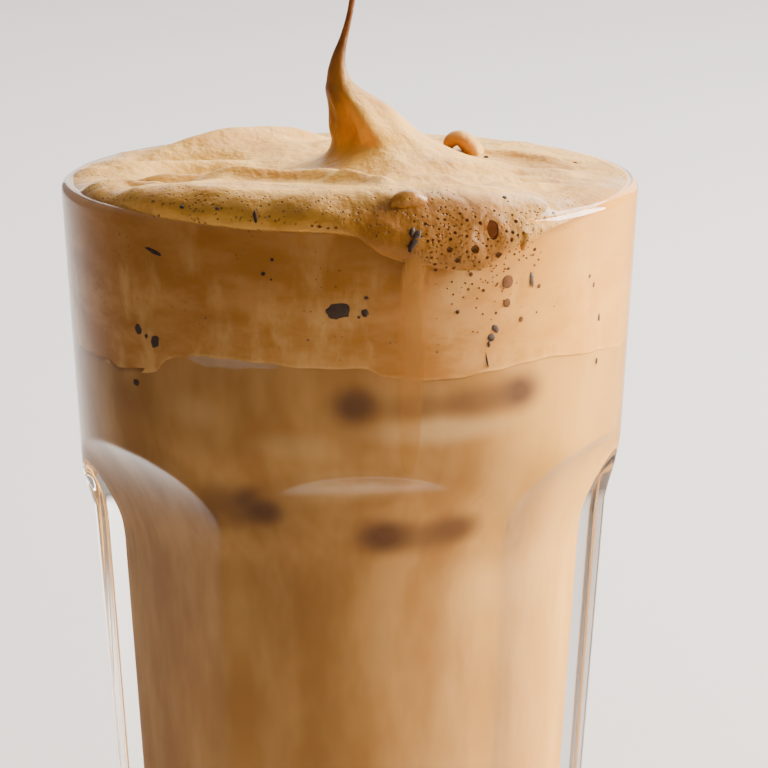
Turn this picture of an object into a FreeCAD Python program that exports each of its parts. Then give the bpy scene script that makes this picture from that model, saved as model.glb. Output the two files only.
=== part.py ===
import FreeCAD, Part
import math
import os

import Sketcher

# An iced coffee in its own tumbler: a heavy pressed glass with a plain band above six arch-topped
# panels, milky coffee up to the shoulder of the band, and a thick cap of whipped foam that stands
# over the rim, runs over it at the front and ends in a drawn-out peak.
# Millimetres, +Z up, origin at the centre of the glass's foot, the overrun of foam towards -Y.

V = FreeCAD.Vector
TURN = 360.0  # a whole turn, degrees
START = 3.0  # spread of an outline's corners before its sizes are bound
GRID = 22  # squares along each side of a worked-out surface
MARGIN = 1.0  # how far such a surface reaches past the lip
LOBE_SECTIONS = 27  # sections lofted into the foam that reaches round the lip
LOBE_STEPS = 8  # steps along the outside of each section
LOBE_EDGE = 0.12  # least share of its full thickness, at its two ends
SEAT = 0.3  # how far under the face of the lip its edge starts, before the glass is cut away
PEAK_SECTIONS = 12  # circles lofted into the peak
CURL_LIFT = 1.0  # how far the middle of the curl stands above the foam
ROOT_DEPTH = 2.0  # how far the peak's root reaches below the lip
SKIRT_BITE = 0.5  # how far the skirt's top reaches into the peak, up and inwards

SIZES = (
    # the glass outside
    ("GlassHeight", 130.0, "foot to the top of the lip"),
    ("RimRadius", 43.25, "outside of the lip, its widest ring"),
    ("LipWall", 2.6, "wall at the lip, rounded over its whole width"),
    ("ShoulderRadius", 40.6, "outside of the plain band at the feet of the arches"),
    ("ShoulderHeight", 84.5, "height of the feet of the arches"),
    ("PanelCount", 6, "panels round the glass"),
    ("PanelTurn", 3.8, "degrees that the front panel is turned towards +X"),
    ("PanelTop", 80.0, "height where a panel starts to curve outwards into its arch"),
    ("PanelReach", 34.2, "axis to the middle of a panel at its top"),
    ("PanelFoot", 29.2, "axis to the middle of a panel at the foot"),
    ("ArchRadius", 20.0, "radius of the curve from a panel out to the band"),
    ("LipFlat", 0.05, "flat left in the middle of the lip"),
    ("RidgeTop", 39.0, "axis to the blunted ridge between two panels, at the top of the panels"),
    ("RidgeFoot", 33.3, "axis to that ridge at the foot"),
    ("FootRound", 1.2, "rounding of the edge of the foot"),
    # the glass inside
    ("FloorThickness", 11.0, "solid glass under the drink"),
    ("FloorRound", 7.0, "rounding between floor and wall inside"),
    ("CavityFoot", 23.6, "inside radius at the floor"),
    ("CavityWaist", 27.3, "inside radius where the panels start"),
    ("WaistHeight", 77.0, "height of the inside waist"),
    ("CavityNeck", 36.6, "inside radius at the bottom of the thin band"),
    ("NeckHeight", 95.0, "height of the bottom of the thin band inside"),
    ("InsideRound", 16.0, "rounding of the inside waist and neck"),
    # the drink
    ("CoffeeLevel", 108.0, "mean height of the line between coffee and foam"),
    ("LevelWave", 1.4, "rise and fall of that line"),
    ("LevelWaveLength", 62.0, "length of that wave across the glass"),
    ("LevelWaveShift", 9.0, "how far its crest lies towards -X"),
    # the foam
    ("CrownEdge", 0.35, "foam over the top of the lip, at the sides and back"),
    ("HillHeight", 1.9, "rise of the foam round the peak, over that"),
    ("HillSpread", 18.0, "spread of that rise"),
    ("RollHeight", 4.1, "rise of the roll of foam along the front of the lip"),
    ("RollRadius", 36.5, "axis to the crest of the roll"),
    ("RollStart", -49.0, "degrees from -Y towards +X where the roll has half its height"),
    ("RollEnd", 43.0, "degrees where it has half its height again"),
    ("RollFade", 7.0, "degrees over which it rises and fades"),
    ("RollInside", 15.0, "spread of the roll towards the axis"),
    ("RollOutside", 9.0, "spread of the roll towards the lip"),
    ("LobeStart", -46.0, "degrees where the foam starts to reach round the lip"),
    ("LobeEnd", 58.0, "degrees where it stops"),
    ("LobeCreep", 2.8, "length that it reaches round the lip, from the lip's inside, where it doesn't hang"),
    ("LobeTurn", 22.0, "degrees where the overrun hangs lowest"),
    ("LobeHalfWidth", 22.0, "degrees from there to either end of what hangs"),
    ("LobeDrop", 5.7, "how far it hangs below the widest ring of the lip"),
    ("LobeBulge", 3.7, "how far the handles of its outline stand out where it is thickest"),
    ("PeakHeight", 27.5, "top of the peak above its foot"),
    ("PeakFoot", 3.2, "height of the peak's foot over the lip"),
    ("PeakBase", 7.6, "radius of the peak where it leaves the foam"),
    ("PeakSkirt", 13.0, "radius of the skirt under the peak, where it meets the foam"),
    ("PeakSwell", 9.4, "height over which the peak thins"),
    ("StrandRadius", 0.5, "radius of the thread that the peak ends in"),
    ("PeakFootShift", 5.0, "shift of the peak's foot towards +X"),
    ("PeakFootFade", 6.5, "height over which that shift fades"),
    ("PeakSway", 2.4, "sway of the thread towards -X"),
    ("PeakSwayHeight", 13.0, "height of that sway above the foam"),
    ("PeakSwayFade", 6.0, "height over which the sway fades"),
    ("CurlRadius", 2.0, "radius of the small curl behind the peak, to the middle of its strand"),
    ("CurlStrand", 1.15, "radius of the curl's strand"),
    ("CurlRight", 16.4, "curl's distance from the axis towards +X"),
    ("CurlBack", 12.0, "curl's distance from the axis towards +Y"),
)


def make_sheet(doc):
    """The driving dimensions, one row each: alias, number and what it is."""
    sheet = doc.addObject("Spreadsheet::Sheet", "Sizes")
    for row, (alias, value, note) in enumerate(SIZES, start=1):
        sheet.set(f"A{row}", alias)
        sheet.set(f"B{row}", str(value))
        sheet.set(f"C{row}", note)
        sheet.setAlias(f"B{row}", alias)
    doc.recompute()
    return sheet


def origin_plane(body, role):
    """One of a body's own origin planes."""
    for feature in body.Origin.OriginFeatures:
        if feature.Role == role:
            return feature
    raise LookupError(role)


def place_outline(body, name, role, corners):
    """A closed outline on an origin plane; a corner is a pair of expressions, "0" lies on an axis."""
    sketch = body.newObject("Sketcher::SketchObject", name)
    sketch.AttachmentSupport = [(origin_plane(body, role), "")]
    sketch.MapMode = "FlatFace"
    # the outline starts as a spread of points, which the expressions then pull into place
    values = [V(START * (i + 1), START * (i + 1) ** 2, 0) for i in range(len(corners))]
    count = len(corners)
    for i in range(count):
        sketch.addGeometry(Part.LineSegment(values[i], values[(i + 1) % count]), False)
    for i in range(count):
        sketch.addConstraint(Sketcher.Constraint("Coincident", i, 2, (i + 1) % count, 1))
    origin_axis = {"DistanceX": -2, "DistanceY": -1}
    for i, pair in enumerate(corners):
        for kind, expression, value in zip(origin_axis, pair, (values[i].x, values[i].y)):
            if expression == "0":
                sketch.addConstraint(Sketcher.Constraint("PointOnObject", i, 1, origin_axis[kind]))
                continue
            index = sketch.addConstraint(Sketcher.Constraint(kind, -1, 1, i, 1, value))
            sketch.setExpression(f"Constraints[{index}]", expression)
    return sketch


def revolve(body, name, sketch):
    """A full turn of a sketch about the glass's axis."""
    feature = body.newObject("PartDesign::Revolution", name)
    feature.Profile = sketch
    feature.ReferenceAxis = (sketch, ["V_Axis"])
    feature.Angle = TURN
    return feature


def round_edges(body, name, base, edges, radius):
    """A fillet whose radius is an expression."""
    feature = body.newObject("PartDesign::Fillet", name)
    feature.Base = (base, edges)
    feature.setExpression("Radius", radius)
    return feature


def ring_edges(shape, rings):
    """Names of the round edges about the axis that have one of the given radii and heights."""
    names = []
    for number, edge in enumerate(shape.Edges, start=1):
        if not isinstance(edge.Curve, Part.Circle):
            continue
        for radius, height in rings:
            if abs(edge.Curve.Radius - radius) < 0.01 and abs(edge.Curve.Center.z - height) < 0.01:
                names.append(f"Edge{number}")
                break
    return names


# corners that the inside of the glass and what fills it share, from the floor upwards
INSIDE = (
    ("Sizes.CavityFoot", "Sizes.FloorThickness"),
    ("Sizes.CavityWaist", "Sizes.WaistHeight"),
    ("Sizes.CavityNeck", "Sizes.NeckHeight"),
)
INSIDE_SLOPE = (
    "(Sizes.RimRadius - Sizes.LipWall - Sizes.CavityNeck) / (Sizes.GlassHeight - Sizes.NeckHeight)"
)


def inside_rings(sheet):
    """The inside edges to round: (floor), (waist and neck)."""
    floor = [(sheet.CavityFoot, sheet.FloorThickness)]
    wall = [(sheet.CavityWaist, sheet.WaistHeight), (sheet.CavityNeck, sheet.NeckHeight)]
    return floor, wall


def round_inside(body, base, sheet):
    """The same roundings on the cavity and on what fills it."""
    floor, wall = inside_rings(sheet)
    first = round_edges(body, body.Name + "Wall", base, ring_edges(base.Shape, wall), "Sizes.InsideRound")
    body.Document.recompute()
    last = round_edges(body, body.Name + "Floor", first, ring_edges(first.Shape, floor), "Sizes.FloorRound")
    body.Document.recompute()
    return last


def make_glass(doc, sheet):
    """The tumbler: a turned blank, its inside rounded, six panels cut, ridges, foot and lip rounded."""
    body = doc.addObject("PartDesign::Body", "Tumbler")
    body.Label = "glass"
    corners = [
        ("0", "0"),
        ("Sizes.RidgeFoot", "0"),
        ("Sizes.RidgeTop", "Sizes.PanelTop"),
        ("Sizes.ShoulderRadius", "Sizes.ShoulderHeight"),
        ("Sizes.RimRadius", "Sizes.GlassHeight"),
        ("Sizes.RimRadius - Sizes.LipWall", "Sizes.GlassHeight"),
        *reversed(INSIDE),
        ("0", "Sizes.FloorThickness"),
    ]
    blank = revolve(body, "Blank", place_outline(body, "WallOutline", "XZ_Plane", corners))
    doc.recompute()
    rounded = round_inside(body, blank, sheet)

    panels = cut_panels(body, sheet)
    doc.recompute()
    foot = round_edges(body, "FootEdge", panels, foot_edges(panels.Shape), "Sizes.FootRound")
    doc.recompute()
    lip = ring_edges(foot.Shape, lip_rings(sheet))
    body.Tip = round_edges(body, "Lip", foot, lip, "Sizes.LipWall / 2 - Sizes.LipFlat")
    body.setExpression("Placement.Rotation.Angle", "Sizes.PanelTurn")
    return body


def lip_rings(sheet):
    """The two edges of the lip before it is rounded."""
    return [(sheet.RimRadius, sheet.GlassHeight), (sheet.RimRadius - sheet.LipWall, sheet.GlassHeight)]


def cut_panels(body, sheet):
    """One panel cut as a pocket whose outline ends in an arc, then repeated round the glass."""
    outline = body.newObject("Sketcher::SketchObject", "PanelOutline")
    outline.AttachmentSupport = [(origin_plane(body, "YZ_Plane"), "")]
    outline.MapMode = "FlatFace"
    lean = math.atan2(sheet.PanelReach - sheet.PanelFoot, sheet.PanelTop)
    foot = V(sheet.PanelFoot, 0, 0)
    top = V(sheet.PanelReach, sheet.PanelTop, 0)
    centre = top + V(math.cos(lean), -math.sin(lean), 0) * sheet.ArchRadius
    crest = centre + V(0, sheet.ArchRadius, 0)
    clear = V(crest.x, 0, 0)
    circle = Part.Circle(centre, V(0, 0, 1), sheet.ArchRadius)
    outline.addGeometry(Part.LineSegment(foot, top), False)
    outline.addGeometry(Part.ArcOfCircle(circle, math.pi / 2, math.pi - lean), False)
    outline.addGeometry(Part.LineSegment(crest, clear), False)
    outline.addGeometry(Part.LineSegment(clear, foot), False)
    line, arc, outer, under = range(4)
    start, end, middle = 1, 2, 3
    outline.addConstraint(Sketcher.Constraint("Tangent", line, end, arc, end))
    outline.addConstraint(Sketcher.Constraint("Coincident", arc, start, outer, start))
    outline.addConstraint(Sketcher.Constraint("Coincident", outer, end, under, start))
    outline.addConstraint(Sketcher.Constraint("Coincident", under, end, line, start))
    outline.addConstraint(Sketcher.Constraint("Vertical", arc, middle, arc, start))
    outline.addConstraint(Sketcher.Constraint("Vertical", outer))
    outline.addConstraint(Sketcher.Constraint("PointOnObject", outer, end, -1))
    outline.addConstraint(Sketcher.Constraint("PointOnObject", line, start, -1))
    for kind, point, alias in (
        ("DistanceX", start, "PanelFoot"),
        ("DistanceX", end, "PanelReach"),
        ("DistanceY", end, "PanelTop"),
    ):
        index = outline.addConstraint(Sketcher.Constraint(kind, -1, 1, line, point, sheet.get(alias)))
        outline.setExpression(f"Constraints[{index}]", f"Sizes.{alias}")
    index = outline.addConstraint(Sketcher.Constraint("Radius", arc, sheet.ArchRadius))
    outline.setExpression(f"Constraints[{index}]", "Sizes.ArchRadius")
    pocket = body.newObject("PartDesign::Pocket", "Panel")
    pocket.Profile = outline
    pocket.SideType = "Symmetric"
    pocket.setExpression("Length", "4 * Sizes.RimRadius")
    pattern = body.newObject("PartDesign::PolarPattern", "Panels")
    pattern.Originals = [pocket]
    pattern.Axis = (outline, ["V_Axis"])
    pattern.Angle = TURN
    pattern.setExpression("Occurrences", "Sizes.PanelCount")
    body.Tip = pattern
    return pattern


def foot_edges(shape):
    """Names of the edges round the foot."""
    names = []
    for number, edge in enumerate(shape.Edges, start=1):
        if edge.BoundBox.ZMax < 0.01:
            names.append(f"Edge{number}")
    return names


def make_filling(doc, sheet):
    """What fills the glass up to where the lip starts to round: the same corners and roundings."""
    body = doc.addObject("PartDesign::Body", "Filling")
    lip_start = "Sizes.GlassHeight - Sizes.LipWall / 2"
    corners = [
        ("0", "Sizes.FloorThickness"),
        *INSIDE,
        (f"Sizes.RimRadius - Sizes.LipWall - Sizes.LipWall / 2 * {INSIDE_SLOPE}", lip_start),
        ("0", lip_start),
    ]
    sketch = place_outline(body, "FillingOutline", "XZ_Plane", corners)
    mass = revolve(body, "FillingMass", sketch)
    doc.recompute()
    body.Tip = round_inside(body, mass, sheet)
    return body


def surface_block(height, reach, bottom):
    """A block over a square of half side reach, from bottom up to the smooth surface z = height(x, y)."""
    rows = []
    for i in range(GRID + 1):
        x = -reach + 2 * reach * i / GRID
        row = []
        for j in range(GRID + 1):
            y = -reach + 2 * reach * j / GRID
            row.append(V(x, y, height(x, y)))
        rows.append(row)
    surface = Part.BSplineSurface()
    surface.interpolate(rows)
    lid = surface.toShape()
    drop = V(0, 0, bottom - lid.BoundBox.ZMax)
    block = lid.extrude(drop * 2)
    keep = Part.makeBox(2 * reach, 2 * reach, 4 * reach, V(-reach, -reach, bottom))
    return block.common(keep)


def level_height(sheet, x, y):
    """Height of the line between coffee and foam: a long wave across the glass, a faint one along it."""
    across = 2 * math.pi * (x + sheet.LevelWaveShift) / sheet.LevelWaveLength
    along = 2 * math.pi * y / sheet.LevelWaveLength
    return sheet.CoffeeLevel + sheet.LevelWave * (math.cos(across) + 0.3 * math.sin(along))


def fade(share):
    """A soft step from 0 to 1 round share 0."""
    return 1 / (1 + math.exp(-2 * share))


def roll_share(sheet, degrees):
    """How much of the front roll there is at an angle from -Y towards +X: 1 in front, 0 behind."""
    rise = fade((degrees - sheet.RollStart) / sheet.RollFade)
    return rise * fade((sheet.RollEnd - degrees) / sheet.RollFade)


def crown_height(sheet, x, y):
    """Height of the top of the foam without its peak: a low crown and a roll along the front."""
    hill = math.exp(-((x - sheet.PeakFootShift) ** 2 + y**2) / sheet.HillSpread**2)
    radius = math.hypot(x, y)
    spread = sheet.RollInside if radius < sheet.RollRadius else sheet.RollOutside
    share = roll_share(sheet, math.degrees(math.atan2(x, -y)))
    roll = share * math.exp(-(((radius - sheet.RollRadius) / spread) ** 2))
    return sheet.GlassHeight + sheet.CrownEdge + sheet.HillHeight * hill + sheet.RollHeight * roll


def make_cap(sheet):
    """The foam above the lip: round, from the start of the lip's rounding to the crown."""
    lip_middle = sheet.RimRadius - sheet.LipWall / 2
    lip_start = sheet.GlassHeight - sheet.LipWall / 2
    disc = Part.makeCylinder(lip_middle, sheet.PeakHeight, V(0, 0, lip_start))
    reach = sheet.RimRadius + MARGIN
    block = surface_block(lambda x, y: crown_height(sheet, x, y), reach, sheet.CoffeeLevel)
    return disc.common(block)


def lip_point(sheet, length, depth):
    """Radius and height a given length along the lip, over it and down outside, depth under its face."""
    lip = sheet.LipWall / 2
    slope = (sheet.RimRadius - sheet.ShoulderRadius) / (sheet.GlassHeight - sheet.ShoulderHeight)
    arc = math.pi * lip
    turn = math.pi - min(length, arc) / lip
    down = max(length - arc, 0)
    radius = sheet.RimRadius - lip + (lip - depth) * math.cos(turn) - down * slope
    return radius, sheet.GlassHeight - lip + (lip - depth) * math.sin(turn) - down


def bezier(handles, share):
    """A point of a curve from the first of four handles to the last."""
    keep = 1 - share
    weights = (keep**3, 3 * keep**2 * share, 3 * keep * share**2, share**3)
    radius = sum(w * r for w, (r, z) in zip(weights, handles))
    return radius, sum(w * z for w, (r, z) in zip(weights, handles))


def lobe_section(sheet, degrees):
    """A closed section through the foam that reaches round the lip, as (radius, height) points."""
    lip = sheet.LipWall / 2
    swing = (degrees - sheet.LobeTurn) / sheet.LobeHalfWidth
    hang = math.cos(swing * math.pi / 2) ** 2 if abs(swing) < 1 else 0.0
    share = roll_share(sheet, degrees)
    hanging = math.pi * lip + sheet.LobeDrop
    creep = lip * math.pi / 2 + (sheet.LobeCreep - lip * math.pi / 2) * share
    creep += (hanging - creep) * hang
    angle = math.radians(degrees)
    x, y = sheet.RollRadius * math.sin(angle), -sheet.RollRadius * math.cos(angle)
    crest = crown_height(sheet, x, y)
    fat = max(share, LOBE_EDGE)
    edge = lip_point(sheet, creep, SEAT)
    out = (edge[0] + sheet.LobeBulge * (0.3 + 0.7 * hang) * fat, edge[1] + sheet.LobeBulge / 2 * (fat - hang))
    over = (sheet.RollRadius + sheet.LobeBulge * (1 + fat + 0.8 * hang), crest)
    handles = (edge, out, over, (sheet.RollRadius, crest))
    profile = [bezier(handles, i / LOBE_STEPS) for i in range(LOBE_STEPS + 1)]
    profile.append((sheet.RollRadius, sheet.GlassHeight))
    profile += [lip_point(sheet, creep * part, lip * 0.8) for part in (0.25, 0.55, 0.85)]
    return [V(r * math.sin(angle), -r * math.cos(angle), z) for r, z in profile]


def make_lobe(sheet):
    """The foam that reaches round the lip and hangs outside: sections lofted round the rim."""
    wires = []
    for i in range(LOBE_SECTIONS):
        share = i / (LOBE_SECTIONS - 1)
        points = lobe_section(sheet, sheet.LobeStart + (sheet.LobeEnd - sheet.LobeStart) * share)
        wires.append(Part.makePolygon(points + points[:1]))
    return Part.makeLoft(wires, True, True)


def make_peak(sheet):
    """The peak: level circles along a swaying line, wide at the foot and thinning to a thread."""
    foot = sheet.GlassHeight + sheet.PeakFoot
    wires = []
    for i in range(PEAK_SECTIONS):
        rise = sheet.PeakHeight * i / (PEAK_SECTIONS - 1)
        swell = math.exp(-((rise / sheet.PeakSwell) ** 2))
        radius = sheet.StrandRadius + (sheet.PeakBase - sheet.StrandRadius) * swell
        lean = sheet.PeakFootShift * math.exp(-((rise / sheet.PeakFootFade) ** 2))
        off = (rise - sheet.PeakSwayHeight) / sheet.PeakSwayFade
        sway = sheet.PeakSway * math.exp(-off * off)
        circle = Part.makeCircle(radius, V(lean - sway, 0, foot + rise))
        wires.append(Part.Wire([circle]))
    tip = Part.makeSphere(sheet.StrandRadius, wires[-1].BoundBox.Center)
    depth = sheet.PeakFoot + ROOT_DEPTH
    below = V(sheet.PeakFootShift, 0, foot - depth)
    narrow = sheet.PeakBase - SKIRT_BITE
    root = Part.makeCone(sheet.PeakSkirt + ROOT_DEPTH, narrow, depth + SKIRT_BITE, below)
    return Part.makeLoft(wires, True, False).fuse([tip, root])


def add_shape(doc, name, shape):
    """A document object that holds one worked-out shape."""
    feature = doc.addObject("Part::Feature", name)
    feature.Shape = shape
    return feature


def make_curl(doc, sheet):
    """The small curl behind the peak: a ring on edge, its lower part sunk in the foam."""
    curl = doc.addObject("Part::Torus", "Curl")
    curl.setExpression("Radius1", "Sizes.CurlRadius")
    curl.setExpression("Radius2", "Sizes.CurlStrand")
    height = crown_height(sheet, sheet.CurlRight, sheet.CurlBack) + CURL_LIFT
    upright = FreeCAD.Rotation(V(1, 0, 0), 90)
    curl.Placement = FreeCAD.Placement(V(sheet.CurlRight, sheet.CurlBack, height), upright)
    return curl


def make_drink(doc, sheet, glass):
    """Coffee and foam: the filling parted along the wavy line, and the foam that stands on it."""
    filling = make_filling(doc, sheet)
    block = surface_block(lambda x, y: level_height(sheet, x, y), sheet.RimRadius + MARGIN, 0)
    below = add_shape(doc, "BelowLine", block)
    coffee = doc.addObject("Part::Common", "Coffee")
    coffee.Label = "coffee"
    coffee.Base = filling
    coffee.Tool = below
    core = doc.addObject("Part::Cut", "FoamCore")
    core.Base = filling
    core.Tool = below
    top = doc.addObject("Part::MultiFuse", "FoamTop")
    top.Shapes = [
        add_shape(doc, "Cap", make_cap(sheet)),
        add_shape(doc, "Overrun", make_lobe(sheet)),
        add_shape(doc, "Peak", make_peak(sheet)),
        make_curl(doc, sheet),
    ]
    seated = doc.addObject("Part::Cut", "FoamSeated")
    seated.Base = top
    seated.Tool = glass
    foam = doc.addObject("Part::Fuse", "Foam")
    foam.Label = "foam"
    foam.Base = core
    foam.Tool = seated


def check(doc, labels):
    """Every object built, and one valid solid for each sub-part."""
    for item in doc.Objects:
        if "Invalid" in item.State or "Error" in item.State:
            raise RuntimeError(f"{item.Name} failed")
    for label in labels:
        shape = doc.getObjectsByLabel(label)[0].Shape
        if shape.isNull() or not shape.isValid() or len(shape.Solids) != 1:
            raise RuntimeError(f"{label} is not one valid solid")
        print(label, round(shape.Volume / 1000, 1), "cm3")


doc = FreeCAD.newDocument("IcedCoffee")
sheet = make_sheet(doc)
glass = make_glass(doc, sheet)
make_drink(doc, sheet, glass)
doc.recompute()
SUB_PARTS = ("glass", "coffee", "foam")
check(doc, SUB_PARTS)
os.makedirs("parts", exist_ok=True)
for label in SUB_PARTS:
    doc.getObjectsByLabel(label)[0].Shape.exportStep(f"parts/{label}.step")
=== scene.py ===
# %% [markdown]
# # An iced coffee in a panelled tumbler
# The drink is three things seen together: clear pressed glass, milky coffee with ice sunk in it,
# and whipped foam that stands over the rim and runs over it. The frame gives the glass its size.
# Every piece below is worked out from a few sizes in millimetres, made metres in one place.

# %% load the frame
import math
import random

import bpy
import numpy as np
from mathutils import Matrix, Vector, noise
from mathutils.bvhtree import BVHTree


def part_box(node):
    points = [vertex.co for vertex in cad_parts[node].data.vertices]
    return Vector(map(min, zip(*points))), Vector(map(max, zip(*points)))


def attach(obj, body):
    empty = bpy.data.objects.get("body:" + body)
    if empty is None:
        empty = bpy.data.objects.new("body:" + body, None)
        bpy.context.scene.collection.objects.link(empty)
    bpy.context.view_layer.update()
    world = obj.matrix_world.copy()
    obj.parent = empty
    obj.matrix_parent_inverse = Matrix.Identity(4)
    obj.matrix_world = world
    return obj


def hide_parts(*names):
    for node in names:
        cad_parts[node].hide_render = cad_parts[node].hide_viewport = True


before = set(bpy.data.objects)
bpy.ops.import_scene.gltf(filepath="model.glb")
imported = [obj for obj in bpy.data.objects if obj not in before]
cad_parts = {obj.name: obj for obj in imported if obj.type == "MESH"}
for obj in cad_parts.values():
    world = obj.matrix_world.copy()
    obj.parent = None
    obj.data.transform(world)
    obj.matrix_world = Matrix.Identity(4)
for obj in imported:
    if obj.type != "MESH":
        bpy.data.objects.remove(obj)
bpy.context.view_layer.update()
MM = 0.001

# %% [markdown]
# ## Turning a piece
# Glass and drink are round, so each starts as a profile that bpy.ops.mesh.spin turns once about
# the Z axis. Every point of the profile keeps its rank as an attribute. After the spin a point
# still knows which ring of the piece it belongs to, and that lets a later step push single rings
# in or out, as a sculptor would. A loft of separate rings would do too, but the spin closes the
# skin and its poles by itself.

# %% turned pieces
TURN = 2 * math.pi
SEAM = 1e-7  # points closer than this are one point, metres


def alone(piece):
    """Select one piece and make it active."""
    bpy.ops.object.select_all(action="DESELECT")
    piece.select_set(True)
    bpy.context.view_layer.objects.active = piece


def outward():
    """In Edit Mode, turn all faces of the active piece outwards, and leave Edit Mode."""
    bpy.ops.mesh.select_all(action="SELECT")
    bpy.ops.mesh.normals_make_consistent(inside=False)
    bpy.ops.object.mode_set(mode="OBJECT")


def turned(name, profile, steps):
    """A closed piece spun from (radius, height) points in millimetres."""
    mesh = bpy.data.meshes.new(name)
    points = [(r * MM, 0, z * MM) for r, z in profile]
    mesh.from_pydata(points, [(i, i + 1) for i in range(len(points) - 1)], [])
    rank = mesh.attributes.new("rank", "INT", "POINT")
    rank.data.foreach_set("value", list(range(len(points))))
    piece = bpy.data.objects.new(name, mesh)
    bpy.context.scene.collection.objects.link(piece)
    alone(piece)
    bpy.ops.object.mode_set(mode="EDIT")
    bpy.ops.mesh.select_all(action="SELECT")
    bpy.ops.mesh.spin(steps=steps, angle=TURN, center=(0, 0, 0), axis=(0, 0, 1))
    bpy.ops.mesh.select_all(action="SELECT")
    bpy.ops.mesh.remove_doubles(threshold=SEAM)
    outward()
    bpy.ops.object.shade_smooth()
    return piece


def read_points(piece):
    """Positions in millimetres, ranks, and angles from -Y towards +X."""
    mesh = piece.data
    co = np.empty(3 * len(mesh.vertices))
    mesh.vertices.foreach_get("co", co)
    co = co.reshape(-1, 3) / MM
    rank = np.empty(len(mesh.vertices), dtype=int)
    mesh.attributes["rank"].data.foreach_get("value", rank)
    return co, rank, np.arctan2(co[:, 0], -co[:, 1])


def write_points(piece, co):
    """Put positions in millimetres back."""
    piece.data.vertices.foreach_set("co", (co * MM).ravel())
    piece.data.update()
    triangles = sum(len(face.vertices) - 2 for face in piece.data.polygons)
    print(piece.name, "triangles", triangles, "box", co.min(0).round(1), co.max(0).round(1))


# %% [markdown]
# ## Profiles
# A pressed wall is straight runs joined by roundings. The helper takes the corners and a radius
# for each, and gives back a line of points: few where it is straight, close together in a bend.

# %% rounded profiles
def arc_points(before, here, after, rounding, bend):
    """Points of the arc that rounds one corner."""
    back = (before - here) / np.linalg.norm(before - here)
    on = (after - here) / np.linalg.norm(after - here)
    half = math.acos(float(np.clip(back @ on, -1, 1))) / 2
    reach = rounding / math.tan(half)
    centre = here + (back + on) / np.linalg.norm(back + on) * rounding / math.sin(half)
    start = here + back * reach - centre
    end = here + on * reach - centre
    sweep = math.atan2(start[0] * end[1] - start[1] * end[0], start @ end)
    count = max(3, round(abs(sweep) * rounding / bend))
    points = []
    for k in range(count + 1):
        cos, sin = math.cos(sweep * k / count), math.sin(sweep * k / count)
        points.append(centre + np.array((start[0] * cos - start[1] * sin, start[0] * sin + start[1] * cos)))
    return points


def rounded(corners, longest, bend):
    """A line through corners (radius, height, rounding), in steps of at most longest, or bend in arcs."""
    line = []
    for i, (r, z, rounding) in enumerate(corners):
        here = np.array((r, z), dtype=float)
        if not rounding:
            line.append(here)
            continue
        before = np.array(corners[i - 1][:2], dtype=float)
        after = np.array(corners[i + 1][:2], dtype=float)
        line += arc_points(before, here, after, rounding, bend)
    dense = [line[0]]
    for before, after in zip(line, line[1:]):
        count = max(1, math.ceil(np.linalg.norm(after - before) / longest))
        dense += [before + (after - before) * k / count for k in range(1, count + 1)]
    return [(float(r), float(z)) for r, z in dense]


# %% [markdown]
# ## The tumbler
# The real glass is pressed: a plain round band over six flat panels, and each panel ends in an
# arch where it curves out to the band. The arch needs no drawing. It is where a leaning plane
# with a curved top meets a cone, so each outside point simply takes the lesser of the two radii,
# rounded a little where they cross, as fire-polished glass is.

# %% sizes of the glass
GLASS_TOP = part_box("glass")[1][2] / MM
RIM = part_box("glass")[1][0] / MM - 0.01  # outside of the lip, its widest ring
LIP = 1.3  # half the wall at the lip, which is round over its whole width
SHOULDER, SHOULDER_Z = 40.6, 84.5
PANELS, PANEL_TURN = 6, math.radians(3.8)
PANEL_TOP, PANEL_REACH, PANEL_FOOT = 80.0, 34.2, 29.2
ARCH = 20.0  # radius of the curve from a panel out to the band
RIDGE_TOP, RIDGE_FOOT = 39.0, 33.3
FOOT_ROUND = 1.2
FLOOR = 11.0
CAVITY = ((23.6, FLOOR, 7.0), (27.3, 77.0, 16.0), (36.6, 95.0, 16.0))  # radius, height, rounding
AROUND = 360  # points round the glass
BAND_SLOPE = (RIM - SHOULDER) / (GLASS_TOP - SHOULDER_Z)
RING_Z = GLASS_TOP - LIP  # height of the widest ring of the lip
print("rim", round(RIM, 2), "top", round(GLASS_TOP, 2))


# %% [markdown]
# ## A panel's face
# A panel is a flat that leans outwards, then an arc that carries it out past the band. Its
# distance from the axis is worked out for any height, so the glass can be squeezed to it.

# %% where a panel's face lies
def panel_plane(z):
    """Axis to the middle of a panel at height z: a leaning flat, then an arc out to the band."""
    lean = math.atan2(PANEL_REACH - PANEL_FOOT, PANEL_TOP)
    flat = PANEL_FOOT + (PANEL_REACH - PANEL_FOOT) * z / PANEL_TOP
    centre_r = PANEL_REACH + ARCH * math.cos(lean)
    centre_z = PANEL_TOP - ARCH * math.sin(lean)
    arc = centre_r - np.sqrt(ARCH**2 - np.clip(z - centre_z, 0, ARCH) ** 2)
    beyond = np.where(z > centre_z + ARCH, RIM, 0.0)
    return np.where(z < PANEL_TOP, flat, arc) + beyond


def soft_least(a, b, width):
    """The lesser of two lengths, rounded over about width where they cross."""
    return -width * np.logaddexp(-a / width, -b / width)


# %% [markdown]
# ## The glass itself
# The outside goes up ridge, shoulder and band, over the round lip, and down the cavity. Points
# stand close together where the arches will cut the band, so their edges come out clean.

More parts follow.
